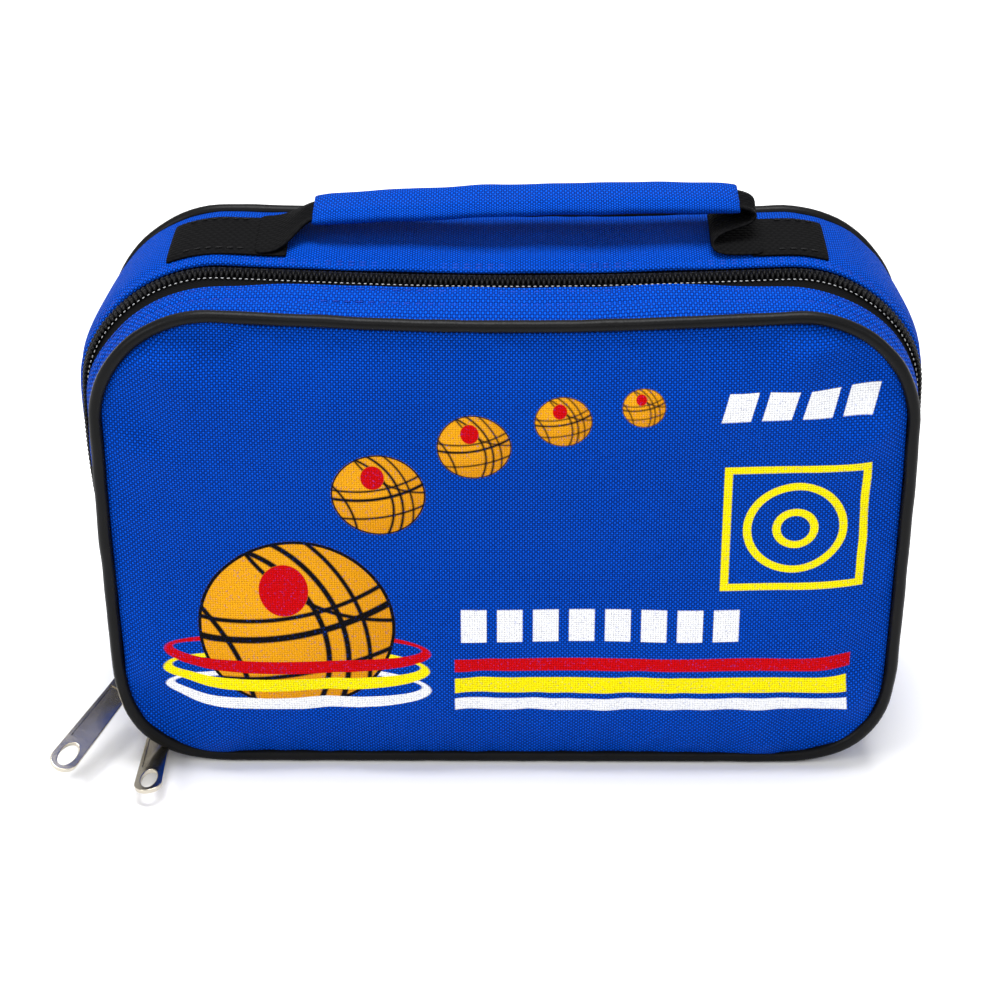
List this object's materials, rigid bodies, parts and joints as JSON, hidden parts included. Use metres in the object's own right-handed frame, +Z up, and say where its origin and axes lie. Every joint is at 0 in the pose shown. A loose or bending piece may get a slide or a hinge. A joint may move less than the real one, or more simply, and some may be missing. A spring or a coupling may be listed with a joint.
{
  "type": "bocce ball set in a carry bag",
  "caption": "Zipped cloth carry bag with piped edges and a top handle; its front cover folds open on the base to reach grooved steel boules and a wooden jack.",
  "frame": {"origin": "centre of the bag's flat base, midway between the front and rear seams", "axes": "+Z up to the handle, -Y towards the front cover, +X to the right as seen from the front"},
  "size_m": [0.2572, 0.1001, 0.1717],
  "materials": {
    "boule_steel": "satin, turned grooves",
    "jack_wood": "smooth, varnished",
    "pull_nickel": "polished nickel plate",
    "slider_nickel": "polished nickel plate",
    "piping_black": "soft sheen",
    "coil_black": "soft sheen",
    "tape_black": "woven twill",
    "foam_grey": "closed-cell foam",
    "lining_black": "plain weave",
    "binding_black": "narrow tape",
    "thread_black": "twisted thread",
    "cloth_print": "coarse plain weave with printed colour",
    "cloth_blue": "coarse plain weave",
    "webbing_black": "ribbed webbing"
  },
  "bodies": {
    "rear_shell": {"handle_end_left": "webbing_black", "handle_end_right": "webbing_black", "handle_stitches_left": "thread_black", "handle_stitches_right": "thread_black", "hinge_strip": "cloth_blue", "rear_foam": "foam_grey", "rear_gusset": "cloth_blue", "rear_lining": "lining_black", "rear_panel": "cloth_blue", "rear_piping": "piping_black", "rear_seam_binding": "binding_black", "rear_zip_coil": "coil_black", "rear_zip_tape": "tape_black", "zip_end_tab_left": "webbing_black", "zip_end_tab_right": "webbing_black"},
    "lid": {"front_panel": "cloth_print", "front_foam": "foam_grey", "front_lining": "lining_black", "front_seam_binding": "binding_black", "front_piping": "piping_black", "front_gusset": "cloth_blue", "front_zip_tape": "tape_black", "front_zip_coil": "coil_black", "rear_zip_tape_end": "tape_black", "rear_zip_coil_end": "coil_black"},
    "handle": {"handle_core": "webbing_black", "handle_sleeve": "cloth_blue", "handle_leg_left": "webbing_black", "handle_leg_right": "webbing_black"},
    "slider_a": {"slider_a": "slider_nickel"},
    "pull_a": {"pull_a": "pull_nickel"},
    "slider_b": {"slider_b": "slider_nickel"},
    "pull_b": {"pull_b": "pull_nickel"},
    "boule_1": {"boule_1": "boule_steel"},
    "boule_2": {"boule_2": "boule_steel"},
    "boule_3": {"boule_3": "boule_steel"},
    "boule_4": {"boule_4": "boule_steel"},
    "boule_5": {"boule_5": "boule_steel"},
    "boule_6": {"boule_6": "boule_steel"},
    "jack": {"jack": "jack_wood"}
  },
  "joints": [
    {"name": "lid_hinge", "type": "hinge", "parent": "rear_shell", "child": "lid", "pos_m": [0, -0.018, 0], "axis": [1, 0, 0], "range_deg": [0, 175]},
    {"name": "handle_lift", "type": "slide", "parent": "rear_shell", "child": "handle", "axis": [0, 0, 1], "range_m": [-0.004, 0.014], "stiffness_N_per_m": 150, "springref_m": 0.0007, "deforming": ["handle_leg_left", "handle_leg_right"]},
    {"name": "slider_a_run", "type": "hinge", "parent": "lid", "child": "slider_a", "pos_m": [-0.082, -0.01561, 0.03592], "axis": [0, 0.9978, -0.0665], "range_deg": [0, 24]},
    {"name": "slider_b_run", "type": "hinge", "parent": "lid", "child": "slider_b", "pos_m": [-0.082, -0.01561, 0.03592], "axis": [0, 0.9978, -0.0665], "range_deg": [-13, 0]},
    {"name": "pull_a_swing", "type": "hinge", "parent": "slider_a", "child": "pull_a", "pos_m": [-0.11811, -0.01688, 0.01676], "axis": [0.4695, -0.0587, -0.881], "range_deg": [-20, 145]},
    {"name": "pull_b_swing", "type": "hinge", "parent": "slider_b", "child": "pull_b", "pos_m": [-0.10718, -0.01775, 0.00376], "axis": [0.788, -0.041, -0.6143], "range_deg": [0, 170]},
    {"name": "boule_1_out", "type": "slide", "parent": "rear_shell", "child": "boule_1", "axis": [0, -1, 0], "range_m": [0, 0.0918]},
    {"name": "boule_2_out", "type": "slide", "parent": "rear_shell", "child": "boule_2", "axis": [0, -1, 0], "range_m": [0, 0.0918]},
    {"name": "boule_3_out", "type": "slide", "parent": "rear_shell", "child": "boule_3", "axis": [0, -1, 0], "range_m": [0, 0.0918]},
    {"name": "boule_4_out", "type": "slide", "parent": "rear_shell", "child": "boule_4", "axis": [0, -1, 0], "range_m": [0, 0.0918]},
    {"name": "boule_5_out", "type": "slide", "parent": "rear_shell", "child": "boule_5", "axis": [0, -1, 0], "range_m": [0, 0.0918]},
    {"name": "boule_6_out", "type": "slide", "parent": "rear_shell", "child": "boule_6", "axis": [0, -1, 0], "range_m": [0, 0.0918]},
    {"name": "jack_out", "type": "slide", "parent": "rear_shell", "child": "jack", "axis": [0, -1, 0], "range_m": [0, 0.0918]}
  ],
  "couplings": [
    {"joint": "boule_1_out", "follows": "lid_hinge", "m_per_rad": 0.03},
    {"joint": "boule_2_out", "follows": "lid_hinge", "m_per_rad": 0.03},
    {"joint": "boule_3_out", "follows": "lid_hinge", "m_per_rad": 0.03},
    {"joint": "boule_4_out", "follows": "lid_hinge", "m_per_rad": 0.03},
    {"joint": "boule_5_out", "follows": "lid_hinge", "m_per_rad": 0.03},
    {"joint": "boule_6_out", "follows": "lid_hinge", "m_per_rad": 0.03},
    {"joint": "jack_out", "follows": "lid_hinge", "m_per_rad": 0.03}
  ]
}
